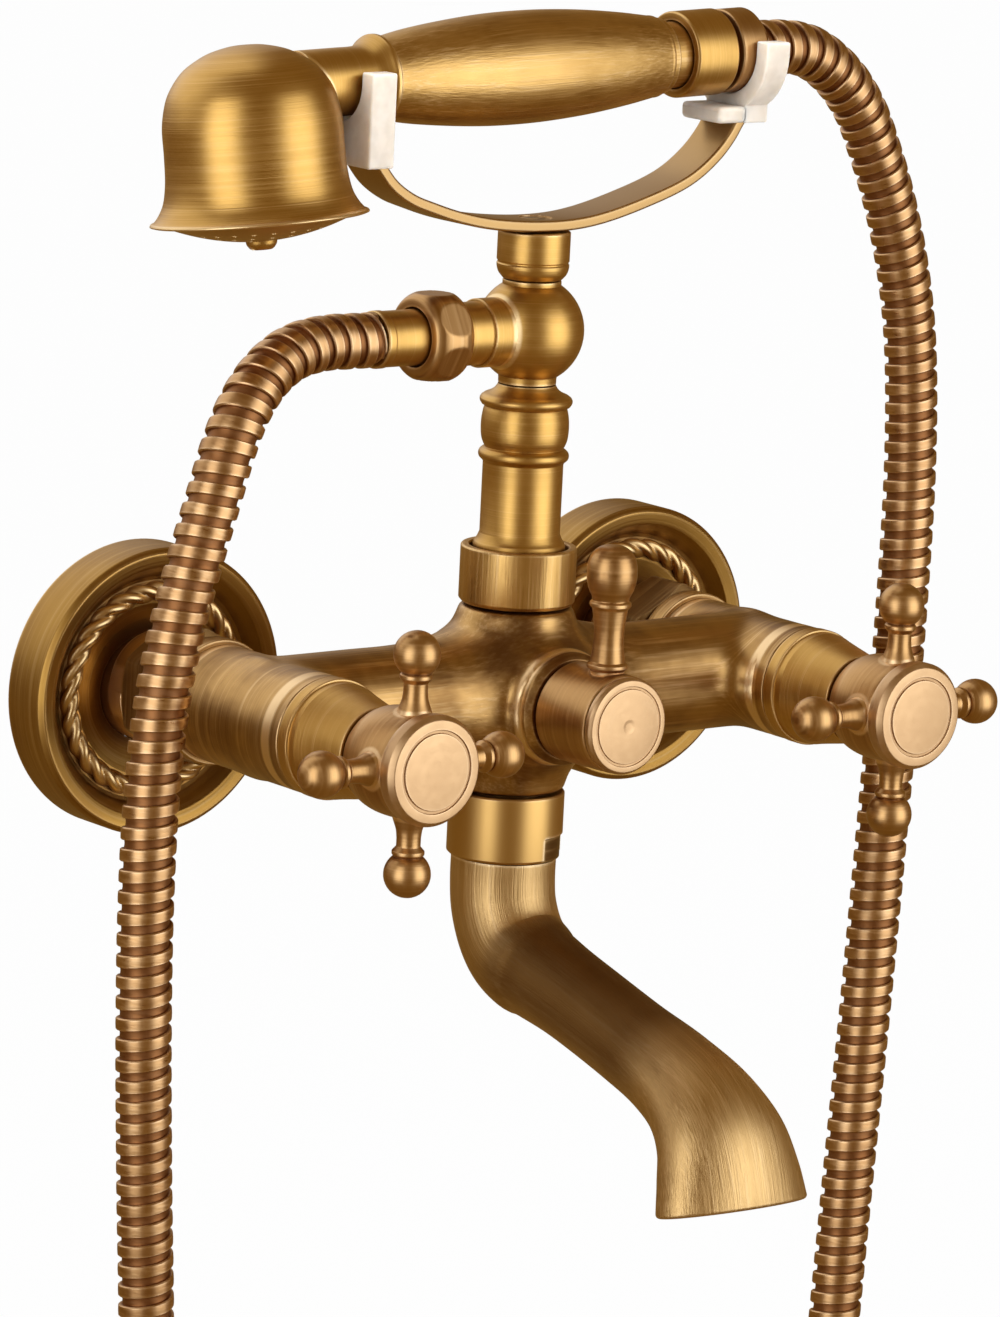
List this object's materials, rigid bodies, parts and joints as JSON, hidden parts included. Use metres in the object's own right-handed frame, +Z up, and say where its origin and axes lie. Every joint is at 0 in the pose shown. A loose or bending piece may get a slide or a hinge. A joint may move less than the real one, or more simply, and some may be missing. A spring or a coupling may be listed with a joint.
{
  "type": "wall mounted bath faucet",
  "caption": "Wall mounted bath faucet with cross handles, a diverter lever, a swivel spout, and a hand shower with a ribbed metal hose resting on a cradle above the column.",
  "frame": {"origin": "on the wall plane, midway between the two supplies, at the height of the valve axis", "axes": "+X to the right when facing the wall, +Y into the wall, +Z up"},
  "size_m": [0.2544, 0.1807, 0.6798],
  "materials": {
    "aged_brass": "brushed and antiqued, worn bright on the edges and dark in the grooves",
    "dark_brass": "antiqued, darker and duller than the cast pieces",
    "valve_brass": "plain machined brass, hidden inside the faucet",
    "hose_brass": "coiled profile, bright bands with dark grooves",
    "satin_cap": "satin brushed in circles, paler than the rest",
    "plain_steel": "plain steel screw",
    "milky_plastic": "milky, slightly translucent",
    "seal_rubber": "dull black seal"
  },
  "bodies": {
    "faucet": {"left_wall_flange": "aged_brass", "left_eccentric_union": "aged_brass", "left_union_nut": "dark_brass", "left_union_washer": "seal_rubber", "left_ceramic_cartridge": "valve_brass", "left_valve_bonnet": "aged_brass", "right_wall_flange": "aged_brass", "right_eccentric_union": "aged_brass", "right_union_nut": "dark_brass", "right_union_washer": "seal_rubber", "right_ceramic_cartridge": "valve_brass", "right_valve_bonnet": "aged_brass", "faucet_body": "aged_brass", "diverter_cartridge": "valve_brass", "top_collar_nut": "aged_brass", "riser_column": "aged_brass", "riser_seal_ring": "seal_rubber", "ball_outlet_tee": "aged_brass", "cradle_post": "aged_brass", "cradle_strap": "dark_brass", "cradle_screw": "plain_steel", "left_saddle": "milky_plastic", "right_saddle": "milky_plastic", "hose_outlet_nut": "aged_brass", "hose_outlet_washer": "seal_rubber", "hose_ferrule": "aged_brass", "shower_hose": "hose_brass", "spout_seal_ring": "seal_rubber"},
    "left_handle": {"left_valve_spindle": "valve_brass", "left_cross_handle": "aged_brass", "left_handle_screw": "plain_steel", "left_handle_cap": "satin_cap"},
    "right_handle": {"right_valve_spindle": "valve_brass", "right_cross_handle": "aged_brass", "right_handle_screw": "plain_steel", "right_handle_cap": "satin_cap"},
    "diverter": {"diverter_spindle": "valve_brass", "diverter_lever": "aged_brass", "diverter_screw": "plain_steel", "diverter_cap": "satin_cap"},
    "spout": {"spout_collar": "aged_brass", "bath_spout": "aged_brass"},
    "handset": {"handset_bell": "aged_brass", "spray_plate": "aged_brass", "spray_plate_screw": "aged_brass", "handset_grip": "aged_brass", "grip_sleeve": "aged_brass", "hose_washer": "seal_rubber", "hose_nut": "aged_brass"}
  },
  "joints": [
    {"name": "left_handle_turn", "type": "hinge", "parent": "faucet", "child": "left_handle", "pos_m": [-0.075, 0, 0], "axis": [0, -1, 0], "range_deg": [0, 90]},
    {"name": "right_handle_turn", "type": "hinge", "parent": "faucet", "child": "right_handle", "pos_m": [0.075, 0, 0], "axis": [0, 1, 0], "range_deg": [0, 90]},
    {"name": "diverter_turn", "type": "hinge", "parent": "faucet", "child": "diverter", "pos_m": [0, 0, 0], "axis": [0, 1, 0], "range_deg": [0, 90]},
    {"name": "spout_swivel", "type": "hinge", "parent": "faucet", "child": "spout", "pos_m": [0, -0.0577, 0], "axis": [0, 0, 1], "range_deg": [-50, 50]},
    {"name": "handset_lift", "type": "slide", "parent": "faucet", "child": "handset", "axis": [-0.2429, 0, 0.97], "range_m": [0, 0.08], "deforming": ["shower_hose"]}
  ]
}
